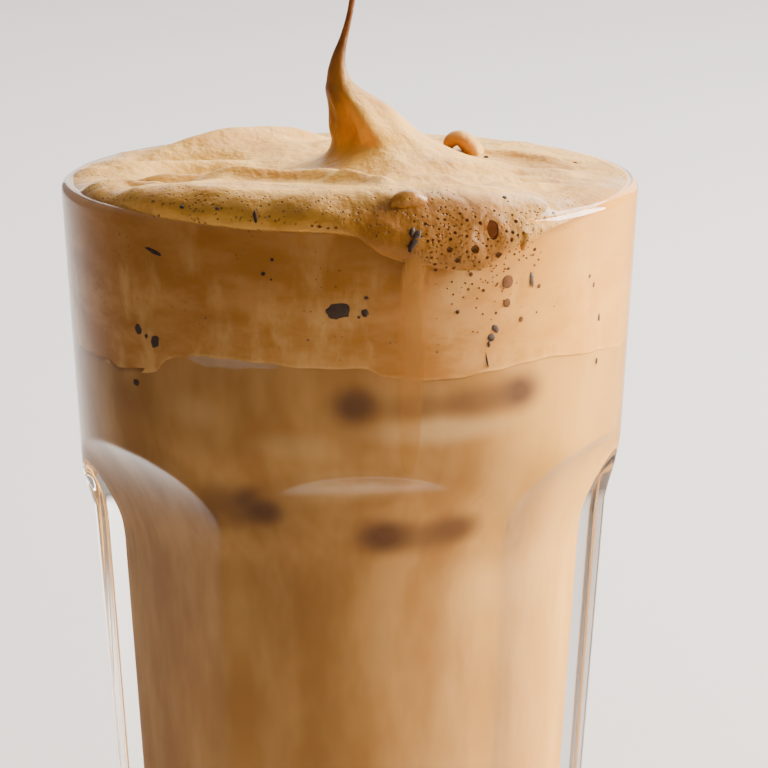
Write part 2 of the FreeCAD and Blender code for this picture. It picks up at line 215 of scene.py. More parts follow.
# %% the tumbler
PANEL_EDGE = 0.22  # softness of the edges between panels and band
ARCH_TOP = 14.0  # the band is plain from here up, below the lip
FLAT_FOOT = 20.0  # inside this radius the foot is left flat
foot = ((0, 0, 0), (RIDGE_FOOT, 0, FOOT_ROUND), (RIDGE_TOP, PANEL_TOP, 0), (SHOULDER, SHOULDER_Z, 0))
outside = rounded(foot, 3.0, 0.3)
band_top = (RIM - ARCH_TOP * BAND_SLOPE, RING_Z - ARCH_TOP, 0)
outside += rounded(((SHOULDER, SHOULDER_Z, 0), band_top), 0.4, 0.4)[1:]
lip = [(RIM - LIP + LIP * math.cos(a), RING_Z + LIP * math.sin(a)) for a in np.linspace(0, math.pi, 17)]
inside = rounded(((RIM - 2 * LIP, RING_Z, 0), *reversed(CAVITY), (0, FLOOR, 0)), 3.0, 0.8)
tumbler = turned("tumbler", outside + lip + inside[1:], AROUND)
co, rank, angle = read_points(tumbler)
radius = np.hypot(co[:, 0], co[:, 1])
sector = TURN / PANELS
off = (angle - PANEL_TURN + sector / 2) % sector - sector / 2
panel = panel_plane(co[:, 2]) / np.cos(off)
outer = (rank < len(outside)) & (radius > FLAT_FOOT)
squeezed = np.where(outer, soft_least(radius, panel, PANEL_EDGE), radius)
co[:, :2] *= (squeezed / np.maximum(radius, SEAM))[:, None]
write_points(tumbler, co)

# %% [markdown]
# ## What fills the glass
# Coffee and foam reach a little into the wall. If they stopped at its face, or short of it, a
# silvery film of air would show through the glass. The foam's skin reaches further than the
# coffee's, so the line between them is the foam's own lower edge. It isn't level: it sags in
# front, and on the left it drops in a step where a lump of foam sank.

# %% the line between coffee and foam
# angle from -Y towards +X in degrees, and height of the foam's lower edge
LINE = (
    (-180, 107.8), (-120, 107.4), (-85, 105.8), (-60, 105.8), (-57, 105.0), (-48, 106.0), (-43.5, 106.5),
    (-41.5, 108.1), (-38, 109.2), (-30, 110.1), (-21, 109.7), (-11, 109.4), (4, 109.1), (7, 108.0),
    (12.5, 107.6), (19, 107.1), (25, 107.2), (30, 107.8), (38, 108.3), (49, 108.4), (77, 106.4),
    (120, 107.4), (180, 107.8),
)
LEVEL = 107.8  # its mean height
STEP = 0.5  # degrees between the points that a table is read at


def along(table, degrees, soften=9):
    """A smooth line through a table of (angle, value), read at angles in degrees."""
    knots = np.array(table, dtype=float)
    fine = np.arange(-180, 180 + STEP, STEP)
    values = np.interp(fine, knots[:, 0], knots[:, 1])
    window = np.hanning(soften) / np.hanning(soften).sum()
    wrapped = np.concatenate((values[-soften:-1], values, values[1:soften]))
    return np.interp(degrees, fine, np.convolve(wrapped, window, "same")[soften - 1 : 1 - soften])


def line_height(angle):
    """Height of the foam's lower edge at an angle in radians, with small ripples."""
    ripples = 0.12 * np.sin(17 * angle + 0.8) + 0.07 * np.sin(41 * angle)
    return along(LINE, np.degrees(angle), 5) + ripples


# %% [markdown]
# ## The coffee
# The coffee is the cavity's own profile, a hair larger, with a flat lid. Its last few rings rise
# and fall with the line, and end just behind the foam's lower edge so that no gap shows.

# %% the coffee
COFFEE_SINK = 0.20  # how far the coffee reaches into the wall
BEHIND_FOAM = 0.7  # how far it reaches up behind the foam's edge
EASED = 6.0  # height below the line over which its rise and fall fades into level rings
wall = np.array(rounded(((0, FLOOR, 0), *CAVITY, (RIM - 2 * LIP, RING_Z, 0)), 2.0, 0.8))


def cavity_radius(z):
    """Inside radius of the glass at height z."""
    return np.interp(z, wall[:, 1], wall[:, 0])


under = [(r + COFFEE_SINK * min(1, r / 5), z - COFFEE_SINK * (r < CAVITY[0][0] - 5)) for r, z in wall]
below = [(r, z) for r, z in under if z < LEVEL - EASED]
heights = np.linspace(LEVEL - EASED, LEVEL + BEHIND_FOAM, 8)
upper = [(float(cavity_radius(z)) + COFFEE_SINK, float(z)) for z in heights]
lid = [(r, LEVEL + BEHIND_FOAM) for r in (30.0, 20.0, 10.0, 0.0)]
coffee = turned("coffee_fill", below + upper + lid, AROUND)
co, rank, angle = read_points(coffee)
rise = np.clip((co[:, 2] - (LEVEL - EASED)) / EASED, 0, 1)
co[:, 2] += rise * (line_height(angle) - LEVEL)
write_points(coffee, co)

# %% [markdown]
# ## The foam
# The foam is one skin. Its rings start in the middle underneath, climb the wall, creep over the
# lip, turn back at the overrun's edge, cross the crown and shrink round the peak up to its tip.
# Each ring is a function of the angle, so folds, overrun and peak need no joins that would show.
# Sculpting by hand would give the same shape, but could not be made again from sizes.

# %% how far the foam creeps over the lip, and how high its front roll stands
FOAM_SINK = 0.42  # how far the foam reaches into the wall
LIP_ARC = math.pi * LIP
CREST_R = 36.5  # radius where the overrun meets the crown
# angle, and the length from the inside of the lip, over it and down the outside
CREEP = (
    (-180, 2.1), (-75, 2.1), (-52, 2.1), (-38, 3.0), (-20, 3.5), (-3, 3.6), (2, 4.2), (5, 6.2), (9, 7.5),
    (13, 8.3), (16, 8.7), (20, 9.3), (25, 9.6), (28, 9.2), (31, 7.4), (34, 6.6), (37, 6.6), (40, 5.4),
    (44, 4.8), (50, 4.2), (58, 3.0), (70, 2.0), (85, 2.1), (180, 2.1),
)
# angle, and the height of the roll over the lip
ROLL = (
    (-180, 0.2), (-75, 0.2), (-60, 0.6), (-48, 2.2), (-38, 3.8), (-20, 4.0), (0, 4.2), (20, 4.0), (34, 3.2),
    (46, 1.6), (60, 0.5), (75, 0.2), (180, 0.2),
)


# %% [markdown]
# ## The crown
# The top is nearly level: a low hill round the peak, the roll along the front, and the folds
# that a whisk leaves as it is lifted out. A fold is a ridge along a short line, higher on one
# side, with a valley beside it. Noise adds the small lumps that no two pours share.

# %% the crown
# each fold: start and end across and along the glass, height, width
FOLDS = (
    (-21, -19, 3, -27, 2.6, 2.2), (-3, -27, 6, -35, 1.4, 1.9), (-31, -9, -10, -16, 1.8, 2.3),
    (7, -34, 16, -30, 1.3, 1.6), (10, -19, 33, -12, 1.2, 2.6), (-35, 3, -16, 9, 1.5, 2.4),
    (16, 14, 33, 5, 1.3, 2.0), (-30, 16, -4, 29, 1.7, 3.0), (-37, -12, -27, -23, 1.3, 1.8),
    (14, -8, 34, -2, 0.8, 1.8), (-6, 20, 14, 26, 1.2, 2.4), (20, -26, 33, -16, 0.9, 1.8),
)
LUMP_SIZE, LUMPS = 6.0, 0.42  # size and height of the small lumps


def lumps(x, y, z, size):
    """Smooth noise at each point, between -1 and 1."""
    flat = zip(np.ravel(x), np.ravel(y), np.ravel(z * np.ones_like(x)))
    return np.array([noise.noise((a / size, b / size, c / size)) for a, b, c in flat]).reshape(np.shape(x))


def fold_height(x, y):
    """The folds: a ridge along each line and a shallow valley behind it."""
    total = np.zeros_like(x)
    for x0, y0, x1, y1, height, width in FOLDS:
        length = math.hypot(x1 - x0, y1 - y0)
        ux, uy = (x1 - x0) / length, (y1 - y0) / length
        share = ((x - x0) * ux + (y - y0) * uy) / length
        across = ((y - y0) * ux - (x - x0) * uy) - 1.4 * np.sin(math.pi * np.clip(share, 0, 1))
        window = np.exp(-(np.clip(np.abs(share - 0.5) - 0.3, 0, None) / 0.22) ** 2)
        ridge = np.exp(-((across / width) ** 2)) - 0.75 * np.exp(-(((across - 1.6 * width) / width) ** 2))
        total += height * window * ridge
    return total


def crown(x, y):
    """Height of the foam's top over the lip, without its peak."""
    r = np.hypot(x, y)
    degrees = np.degrees(np.arctan2(x, -y))
    hill = 1.9 * np.exp(-((x - 8) ** 2 + (y + 2) ** 2) / 18**2)
    decay = np.where(r < CREST_R, 15.0, 9.0)
    roll = along(ROLL, degrees) * np.exp(-(((r - CREST_R) / decay) ** 2))
    dip = -1.9 * np.exp(-((x + 21) ** 2 + (y - 2) ** 2) / 9**2)
    mound = 1.7 * np.exp(-((x + 16) ** 2 + (y - 22) ** 2) / 11**2)
    small = LUMPS * lumps(x, y, 0 * r, LUMP_SIZE)
    return 0.35 + hill + roll + dip + mound + fold_height(x, y) * np.clip((41 - r) / 4, 0, 1) + small


# %% [markdown]
# ## The peak
# A whisk lifted out draws the foam into a peak that thins to a thread. It is rings again, each
# with a height, a radius and a sway. A groove winds up its left side and low ridges twist round
# it, because the foam turned as it was drawn.

# %% the peak
# height over the foam, radius, sway towards +X, sway towards -Y
PEAK = (
    (0.0, 18.0, 7.0, 1.0), (0.7, 13.4, 6.6, 0.8), (1.9, 10.6, 6.1, 0.6), (3.4, 8.7, 5.5, 0.3),
    (5.2, 7.2, 4.7, 0), (7.1, 6.2, 3.5, 0), (9.3, 5.1, 2.1, 0), (10.9, 4.3, 1.0, 0),
    (13.1, 2.8, -0.9, 0), (14.5, 1.9, -1.6, 0),
    (16.2, 1.40, -1.85, 0), (18.4, 0.98, -1.6, 0), (21.2, 0.62, -0.8, 0), (24.4, 0.48, 0.0, 0),
    (27.4, 0.46, 0.5, 0.1), (30.4, 0.42, 0.9, 0.3),
)
PEAK_KNOTS = np.array(PEAK)


def peak_station(share):
    """Height, radius and sways at a share of the way up the peak, on a smooth line."""
    spot = share * (len(PEAK_KNOTS) - 1)
    i = min(int(spot), len(PEAK_KNOTS) - 2)
    t = spot - i
    rows = [PEAK_KNOTS[min(max(i + step, 0), len(PEAK_KNOTS) - 1)] for step in (-1, 0, 1, 2)]
    before, here, after, last = rows
    second = 2 * before - 5 * here + 4 * after - last
    third = 3 * here - before - 3 * after + last
    return 0.5 * (2 * here + (after - before) * t + second * t**2 + third * t**3)


def twisted(r, angle, height):
    """The peak's radius with its winding groove and low ridges."""
    grown = math.exp(-(((height - 8) / 6) ** 2))
    groove_at = math.radians(-62 + 3.2 * height)
    off = (angle - groove_at + math.pi) % TURN - math.pi
    groove = 0.26 * np.exp(-((off / 0.26) ** 2)) - 0.10 * np.exp(-(((off - 0.55) / 0.3) ** 2))
    ridges = 0.05 * np.sin(3 * angle + 0.5 * height) + 0.03 * np.sin(7 * angle - 0.3 * height)
    return r * (1 - grown * (groove + ridges))


# %% [markdown]
# ## The foam's rings
# Each stretch of the skin has its own rule: up the wall, round the lip, out over the overrun on
# a curve with two handles, in across the crown, and up the peak.

# %% the rings of the foam
UNDER_RINGS, WALL_RINGS, LIP_RINGS, EDGE_RINGS, CROWN_RINGS, PEAK_RINGS = 6, 18, 14, 30, 60, 66


def lip_path(length, sink):
    """Radius and height a given length along the lip from its inside on, sink under its surface."""
    turn = math.pi - np.minimum(length, LIP_ARC) / LIP
    down = np.maximum(length - LIP_ARC, 0)
    r = RIM - LIP + (LIP - sink) * np.cos(turn) - down * BAND_SLOPE
    return r, RING_Z + (LIP - sink) * np.sin(turn) - down


def bezier(p0, p1, p2, p3, share):
    """A point on a curve drawn from p0 to p3 with handles p1 and p2."""
    keep = 1 - share
    return keep**3 * p0 + 3 * keep**2 * share * p1 + 3 * keep * share**2 * p2 + share**3 * p3


def inner_ring(k, angle):
    """The rings under the foam and up the wall: radius and height."""
    base = line_height(angle)
    if k < UNDER_RINGS:
        share = k / UNDER_RINGS
        return (cavity_radius(LEVEL) + FOAM_SINK) * share + 0 * angle, LEVEL + (base - LEVEL) * share
    share = (k - UNDER_RINGS) / WALL_RINGS
    z = base + (RING_Z - base) * share
    return cavity_radius(z) + FOAM_SINK * (1 - 0.3 * share), z


def edge_ring(share, angle):
    """The rings from the edge of the overrun up to the crest: radius and height."""
    degrees = np.degrees(angle)
    creep = along(CREEP, degrees)
    crest = GLASS_TOP + crown(CREST_R * np.sin(angle), -CREST_R * np.cos(angle))
    r0, z0 = lip_path(creep, FOAM_SINK)
    turn = math.pi - np.minimum(creep, LIP_ARC) / LIP
    fat = np.clip((crest - GLASS_TOP) / 4, 0.1, 1)
    hang = np.clip((creep - LIP_ARC) / 4, 0, 1)
    r1 = r0 + (0.36 + 1.6 * fat + 0.86 * hang) * np.maximum(np.cos(turn), 0.1)
    z1 = z0 + (0.2 + 1.6 * fat) * np.sin(turn) - 0.9 * hang
    r2 = CREST_R + 3.0 + 3.4 * fat + 1.5 * hang
    r = bezier(r0, r1, r2, CREST_R, share)
    z = bezier(z0, z1, crest + 0.3 * fat, crest, share)
    swell = np.sin(math.pi * share) * fat
    bumps = 0.55 * lumps(r * np.sin(angle), r * np.cos(angle), z, 5.0)
    return r + swell * (bumps - 0.25), z + 0.6 * swell * bumps


def foam_ring(k, angle):
    """Ring k of the foam as x, y, z at the given angles."""
    across, ahead = np.sin(angle), -np.cos(angle)
    if k < UNDER_RINGS + WALL_RINGS:
        r, z = inner_ring(k, angle)
        return r * across, r * ahead, z
    k -= UNDER_RINGS + WALL_RINGS
    if k < LIP_RINGS:
        r, z = lip_path(along(CREEP, np.degrees(angle)) * k / LIP_RINGS, FOAM_SINK)
        return r * across, r * ahead, z
    k -= LIP_RINGS
    if k < EDGE_RINGS:
        r, z = edge_ring(k / EDGE_RINGS, angle)
        return r * across, r * ahead, z
    k -= EDGE_RINGS
    if k < CROWN_RINGS:
        share = k / CROWN_RINGS
        r = CREST_R + (PEAK[0][1] - CREST_R) * share
        shift = share * share * (3 - 2 * share)
        x, y = r * across + PEAK[0][2] * shift, r * ahead - PEAK[0][3] * shift
        return x, y, GLASS_TOP + crown(x, y)
    k -= CROWN_RINGS
    height, r, right, front = peak_station(k / PEAK_RINGS)
    r = twisted(r, angle, height) if k < PEAK_RINGS else 0 * angle
    x, y = r * across + right, r * ahead - front
    ground = GLASS_TOP + crown(x, y) * math.exp(-((height / 4.5) ** 2))
    return x, y, ground + height


# %% [markdown]
# ## The foam's body
# The rings are spun first as a plain round body, then every point is put where its ring says. A
# tree of the finished faces is kept, because flecks, folds and holes are laid on it by rays.

# %% the foam body
FAR_ABOVE = 20.0  # what a point that isn't on the wall is given as its height over the line
RINGS = UNDER_RINGS + WALL_RINGS + LIP_RINGS + EDGE_RINGS + CROWN_RINGS + PEAK_RINGS + 1
back = np.array([math.pi])
start = [(0.0, LEVEL)]
for k in range(1, RINGS):
    x, y, z = foam_ring(k, back)
    start.append((float(np.hypot(x, y)[0]) if k < RINGS - 1 else 0.0, float(z[0])))
foam = turned("foam_body", start, AROUND)
co, rank, angle = read_points(foam)
for k in range(RINGS):
    ring = rank == k
    co[ring, 0], co[ring, 1], co[ring, 2] = foam_ring(k, angle[ring])
write_points(foam, co)
wall_rank = UNDER_RINGS + WALL_RINGS
above = np.where(rank < wall_rank, co[:, 2] - line_height(angle), FAR_ABOVE)
lower_edge = foam.data.attributes.new("above_line", "FLOAT", "POINT")
lower_edge.data.foreach_set("value", above.astype(np.float32))
behind_glass = set(np.flatnonzero(rank < wall_rank + LIP_RINGS).tolist())
foam_tree = BVHTree.FromPolygons([Vector(p) for p in co], [tuple(f.vertices) for f in foam.data.polygons])

# %% [markdown]
# ## Strands of foam
# A curl, a fold that lies on the roll, or a run of coffee down the glass is a thin body along a
# line. One helper makes them all: a turned tube whose rings are laid along stations, each with
# a middle, a half width and a half height. A bevelled curve could only be round.


# %% laid strands
def laid(name, stations, around=20, between=6):
    """A closed strand through stations (middle, half width vector, half height vector), millimetres."""
    rows = np.array(stations, dtype=float).reshape(len(stations), 9)
    count = (len(stations) - 1) * between + 1
    at = np.linspace(0, len(stations) - 1, count)
    fine = np.empty((count, 9))
    for n, spot in enumerate(at):
        i = min(int(spot), len(rows) - 2)
        t = spot - i
        p0, p1, p2, p3 = (rows[min(max(i + step, 0), len(rows) - 1)] for step in (-1, 0, 1, 2))
        bend = (2 * p0 - 5 * p1 + 4 * p2 - p3) * t**2 + (3 * p1 - p0 - 3 * p2 + p3) * t**3
        fine[n] = 0.5 * (2 * p1 + (p2 - p0) * t + bend)
    profile = [(0.0 if n in (0, count - 1) else 1.0, float(n)) for n in range(count)]
    strand = turned(name, profile, around)
    co, rank, angle = read_points(strand)
    middle, wide, high = fine[rank, :3], fine[rank, 3:6], fine[rank, 6:]
    closed = np.where((rank == 0) | (rank == count - 1), 0.0, 1.0)[:, None]
    co = middle + closed * (np.sin(angle)[:, None] * wide + np.cos(angle)[:, None] * high)
    write_points(strand, co)
    alone(strand)
    bpy.ops.object.mode_set(mode="EDIT")
    outward()
    return strand


# %% [markdown]
# ## The hooked curl
# Behind the peak a small hook of foam stands up and bends over to the left, with a dark hollow
# under it. It is a strand that starts in the crown, rises, and curls over; its foot is sunk in
# the foam so that no gap shows.

# %% the curl
CURL_X, CURL_Y = 16.4, 12.0
CURL_Z = GLASS_TOP + float(crown(np.array([CURL_X]), np.array([CURL_Y]))[0])
# right of the curl's middle, height over the foam, half width, half depth
HOOK = (
    (2.9, -2.0, 1.5, 2.2), (2.6, -0.4, 1.6, 2.2), (2.0, 1.0, 1.5, 2.2), (1.1, 1.9, 1.35, 2.1),
    (0.1, 2.4, 1.2, 1.9), (-0.8, 2.2, 1.1, 1.7), (-1.4, 1.5, 0.95, 1.4), (-1.5, 0.8, 0.6, 0.9),
)
stations = []
for n, (right, up, half, deep) in enumerate(HOOK):
    step = np.array(HOOK[min(n + 1, len(HOOK) - 1)][:2]) - np.array(HOOK[max(n - 1, 0)][:2])
    step = step / np.linalg.norm(step)
    middle = (CURL_X + right, CURL_Y, CURL_Z + up)
    stations.append((middle, (-step[1] * half, 0, step[0] * half), (0, deep, 0)))
curl = laid("curl", stations, 24, 8)

# %% [markdown]
# ## The small fold on the roll
# Right of the middle a small lump of foam lies on the front roll, thin at both ends. It is laid
# where a ray from the front meets the roll.


# %% the small fold
def on_foam(x, y):
    """Height of the foam's top under a point."""
    return foam_tree.ray_cast(Vector((x, y, GLASS_TOP + 40)), Vector((0, 0, -1)))[0].z


def from_front(x, z):
    """What a line from the front meets on the foam: place, normal, face and distance."""
    return foam_tree.ray_cast(Vector((x, -60, z)), Vector((0, 1, 0)))


# right of the axis, height, half size
FOLD = (
    (6.0, 133.1, 0.6), (6.8, 133.3, 1.15), (8.0, 133.4, 1.5), (9.3, 133.4, 1.5), (10.4, 133.2, 1.05),
    (11.2, 133.1, 0.5),
)
stations = []
for x, z, half in FOLD:
    place = from_front(x, z)[0]
    stations.append((tuple(place), (0, 0.15 * half, 0.95 * half), (0, -0.95 * half, 0.25 * half)))
small_fold = laid("small_fold", stations, 20, 8)

# %% [markdown]
# ## The runs of coffee
# From the lowest edge of the overrun a run of coffee goes down the outside of the band, thick
# where it starts and no more than a stain where it ends. A second, tiny drop hangs further
# right. Each is a flat strand on the wall: half of it is in the glass, so it hugs the surface.


# %% the runs
def on_wall(degrees, z):
    """A point on the outside of the band, and the directions round it and out of it."""
    r = RIM - (RING_Z - z) * BAND_SLOPE
    a = math.radians(degrees)
    out = np.array((math.sin(a), -math.cos(a), 0))
    return r * out + np.array((0, 0, z)), np.array((math.cos(a), math.sin(a), 0)), out


# angle, height, half width, thickness
RUN = (
    (13.2, 128.6, 1.6, 0.8), (13.0, 126.2, 2.2, 0.8), (12.9, 124.4, 2.2, 0.7), (12.8, 122.4, 2.1, 0.5),
    (12.6, 119.0, 2.0, 0.35), (12.4, 114.0, 2.0, 0.25), (12.2, 108.0, 1.9, 0.2), (12.1, 102.5, 1.7, 0.15),
    (12.0, 97.5, 1.4, 0.1), (12.0, 94.0, 0.6, 0.05),
)
DROP = ((35.4, 128.0, 0.9, 0.9), (35.3, 126.9, 0.6, 0.8), (35.2, 126.1, 0.5, 0.65), (35.2, 125.3, 0.3, 0.3))


def wall_run(name, table):
    """A flat strand down the wall of the glass."""
    stations = []
    for degrees, z, half, thick in table:
        place, sideways, out = on_wall(degrees, z)
        stations.append((place, sideways * half, out * thick))
    return laid(name, stations, 24, 10)


run = wall_run("coffee_run", RUN)
drop = wall_run("coffee_drop", DROP)

# %% [markdown]
# ## Flecks of coffee
# Whipping leaves flecks of undissolved coffee in the foam. Most are seen through the glass, a
# few lie on the outside of the overrun. Each starts as a small sphere, is flattened against the
# surface, bent out of round with noise, and turned. All of them are one piece.


# %% scattered bits
def bit(place, sideways, out, wide, tall, thick, seed, tilt=0.0, rough=0.3):
    """One flattened, uneven bit as its own object; lengths are half sizes in millimetres."""
    bpy.ops.object.select_all(action="DESELECT")
    bpy.ops.mesh.primitive_uv_sphere_add(segments=20, ring_count=12, radius=1)
    piece = bpy.context.object
    frame_of = Matrix((sideways, np.cross(out, sideways), out)).transposed()
    frame_of = frame_of @ Matrix.Rotation(math.radians(tilt), 3, "Z")
    for vertex in piece.data.vertices:
        grown = 1 + rough * noise.noise(vertex.co * 1.7 + Vector((seed, 0, 0)))
        local = Vector((vertex.co.x * wide * grown, vertex.co.y * tall * grown, vertex.co.z * thick))
        vertex.co = (frame_of @ local + Vector(place)) * MM
    return piece


def gathered(name, pieces):
    """Many bits joined into one piece."""
    bpy.ops.object.select_all(action="DESELECT")
    for piece in pieces:
        piece.select_set(True)
    bpy.context.view_layer.objects.active = pieces[0]
    bpy.ops.object.join()
    whole = bpy.context.object
    whole.name = name
    bpy.ops.object.shade_smooth()
    bpy.ops.object.mode_set(mode="EDIT")
    outward()
    print(name, len(pieces), "bits,", len(whole.data.polygons), "faces")
    return whole


def in_wall(degrees, z, sink=FOAM_SINK):
    """A point where the foam or coffee meets the glass, and the directions round it and out of it."""
    a = math.radians(degrees)
    out = np.array((math.sin(a), -math.cos(a), 0))
    r = float(cavity_radius(z)) + sink
    return r * out + np.array((0, 0, z)), np.array((math.cos(a), math.sin(a), 0)), out


# %% [markdown]
# ## Where the flecks lie
# The large flecks are placed one by one, because they are the first thing the eye finds. Those
# behind the glass go by angle and height, those in front by a ray from the front.

# %% the flecks
# angle, height, half width, half height, tilt
BEHIND = (
    (-1.7, 117.8, 1.7, 1.1, 8), (3.4, 117.4, 0.5, 0.55, 20), (3.7, 119.6, 0.3, 0.25, 0),
    (2.2, 116.8, 0.25, 0.2, 0), (-14.9, 124.9, 0.22, 0.25, 0), (-16.8, 122.8, 0.25, 0.28, 0),
    (-15.2, 122.0, 0.15, 0.15, 0),
    (-48.3, 112.4, 0.6, 0.8, 20), (-43.5, 111.1, 0.75, 1.0, -25), (-46.0, 111.6, 0.3, 0.3, 0),
    (-50.5, 104.2, 0.6, 0.5, 0), (-42.0, 124.4, 1.5, 0.3, -15), (22.5, 117.0, 0.3, 0.3, 0),
    (31.2, 114.0, 0.45, 0.8, 35), (30.4, 112.8, 0.6, 0.6, -20), (29.9, 111.8, 0.25, 0.5, 10),
    (29.6, 109.6, 0.14, 1.4, 12), (39.5, 120.5, 0.35, 1.15, 8), (59.4, 117.7, 0.22, 0.42, 0),
    (62.8, 112.5, 0.3, 0.6, 10), (63.7, 105.8, 0.25, 0.5, 0), (33.5, 122.6, 0.2, 0.2, 0),
    (-8.0, 113.4, 0.14, 0.14, 0), (8.6, 113.0, 0.12, 0.12, 0), (-30.0, 115.6, 0.12, 0.14, 0),
    (18.4, 111.3, 0.12, 0.12, 0),
)
flecks = []
for n, (degrees, z, wide, tall, tilt) in enumerate(BEHIND):
    place, sideways, out = in_wall(degrees, z)
    flecks.append(bit(place, sideways, out, wide, tall, 0.14, n, tilt, 0.35))


def on_front(x, z):
    """Where a line from the front meets the foam, and the directions round it and out of it."""
    place, normal = from_front(x, z)[:2]
    out = np.array(normal) if normal.y < 0 else -np.array(normal)
    sideways = np.cross((0, 0, 1), out)
    return np.array(place), sideways / np.linalg.norm(sideways), out


# right of the axis, height, half width, half height, tilt
OPEN = (
    (9.4, 128.1, 0.55, 1.7, -32), (9.0, 129.3, 0.35, 0.7, -20), (-12.9, 131.2, 0.28, 0.9, 12),
    (22.2, 132.6, 0.4, 0.3, 0), (-23.4, 131.6, 0.35, 0.3, 0), (-18.3, 131.9, 0.3, 0.25, 0),
)
for n, (x, z, wide, tall, tilt) in enumerate(OPEN):
    place, sideways, out = on_front(x, z)
    flecks.append(bit(place, sideways, out, wide, tall, 0.22, 60 + n, tilt, 0.35))

# on the crown at the right: across, along, half width, half depth, turn
CROWN_FLECKS = (
    (27.5, 14.0, 2.4, 0.5, 20), (31.5, 12.0, 1.1, 0.4, 0), (20.6, 8.5, 0.45, 0.35, 0),
    (24.0, 18.5, 1.2, 0.4, -10), (34.0, 6.0, 0.4, 0.3, 0),
)
for n, (x, y, wide, tall, tilt) in enumerate(CROWN_FLECKS):
    place = np.array((x, y, on_foam(x, y)))
    sideways, out = np.array((1.0, 0, 0)), np.array((0, 0, 1.0))
    flecks.append(bit(place, sideways, out, wide, tall, 0.35, 80 + n, tilt, 0.5))
coffee_flecks = gathered("coffee_flecks", flecks)

# %% [markdown]
# ## Bubbles
# Bubbles that burst leave round holes in the foam: large ones low in the overrun and a field of
# small ones round them. They are cut, not painted. Flattened spheres are gathered into one
# cutter, and a Boolean takes it out of the foam, so each hole has a real rim and a dark inside.

# %% holes in the open foam
# right of the axis, height, half width, half height
HOLES = (
    (20.4, 128.8, 0.95, 1.45), (17.9, 126.4, 0.7, 0.65), (21.2, 125.2, 0.6, 0.5), (14.3, 126.6, 0.45, 0.45),
    (15.4, 125.0, 0.5, 0.42), (23.7, 129.6, 0.35, 0.3), (18.6, 129.9, 0.3, 0.3), (12.2, 124.6, 0.28, 0.25),
    (19.6, 123.4, 0.4, 0.3), (23.1, 127.2, 0.3, 0.35), (16.7, 128.3, 0.26, 0.26), (-3.9, 130.2, 0.32, 0.22),
    (-2.7, 130.0, 0.26, 0.2), (-1.6, 130.1, 0.24, 0.2), (-4.9, 130.3, 0.22, 0.18),
)
NOT_FRONT = -30.0  # a hole further back than this isn't on the overrun
HOLE_COUNT = 175
chance = random.Random(11)
holes = list(HOLES)
while len(holes) < HOLE_COUNT:
    x = chance.gauss(15.5, 5.0)
    z = chance.gauss(127.9, 2.6)
    size = 0.13 + 0.22 * chance.random() ** 2.2
    clear = all(math.hypot(x - a, z - b) > size + c + 0.25 for a, b, c, _ in holes)
    if clear and 8 < x < 30 and 122.6 < z < 132.2:
        holes.append((x, z, size, size * 0.9))
for n in range(26):
    holes.append((chance.uniform(-24, 6), chance.uniform(130.2, 132.2), 0.13, 0.11))
cups = []
for n, (x, z, wide, tall) in enumerate(holes):
    met = from_front(x, z)[0]
    if met is None or met.y > NOT_FRONT or math.hypot(met.x, met.y) < CREST_R + 1.5:
        continue  # the foam isn't there, or slopes away on the crown
    place, sideways, out = on_front(x, z)
    cups.append(bit(place, sideways, out, wide, tall, 1.1 * min(wide, tall), 200 + n, 0, 0.12))
cutter = gathered("bubble_cutter", cups)

# %% [markdown]
# ## Cutting the holes
# The cutter's faces carry the dark material of a bubble's inside, and the Boolean keeps it. The
# faces behind the glass get their own material, as wet foam against a wall looks flatter.

# %% cut the holes
bubble_inside = bpy.data.materials.new("bubble_inside")
foam_open = bpy.data.materials.new("foam_open")
foam_behind = bpy.data.materials.new("foam_behind_glass")
for material in (foam_open, foam_behind, bubble_inside):
    foam.data.materials.append(material)
cutter.data.materials.append(bubble_inside)
for face in foam.data.polygons:
    if all(corner in behind_glass for corner in face.vertices):
        face.material_index = 1
alone(foam)
cut = foam.modifiers.new("bubbles", "BOOLEAN")
cut.operation = "DIFFERENCE"
cut.solver = "MANIFOLD"
cut.object = cutter
bpy.ops.object.modifier_apply(modifier="bubbles")
bpy.ops.object.shade_smooth_by_angle(angle=math.radians(38))
bpy.data.objects.remove(cutter, do_unlink=True)
print("foam after cutting:", len(foam.data.polygons), "faces", [m.name for m in foam.data.materials])

# %% [markdown]
# ## Bubbles against the glass
# Where a bubble touches the wall it shows through the glass as a round amber spot. Those are
# shallow lenses on the foam's skin, one piece, because a hole there would show an empty dent.

# %% bubbles behind the glass
# angle, height, half size
SPOTS = (
    (33.5, 120.7, 0.9), (33.6, 117.6, 0.6), (37.4, 114.9, 0.38), (41.6, 119.4, 0.3), (28.0, 119.8, 0.25),
    (25.0, 122.3, 0.3), (24.6, 120.2, 0.2), (57.5, 119.2, 0.28), (31.2, 116.3, 0.2),
)
spots = []
for n, (degrees, z, size) in enumerate(SPOTS):
    place, sideways, out = in_wall(degrees, z)
    spots.append(bit(place, sideways, out, size, size * 1.08, 0.1, 300 + n, 0, 0.08))
for n in range(60):
    degrees = chance.gauss(29.5, 6.5)
    z = chance.gauss(120.5, 2.8)
    size = chance.uniform(0.09, 0.17)
    if z < 124.5:
        place, sideways, out = in_wall(degrees, z)
        spots.append(bit(place, sideways, out, size, size, 0.06, 400 + n, 0, 0.05))
wall_bubbles = gathered("wall_bubbles", spots)

# %% [markdown]
# ## The ice
# Ice cubes are sunk in the coffee. Milky coffee hides them, apart from the dark blurs where a
# corner comes near the wall, and those are in the coffee's own colour. The cubes are still
# there at true size: a cube, bevelled and subdivided, its faces drawn in as melting ice is.

# %% the ice cubes
ICE_SIDE = 21.0
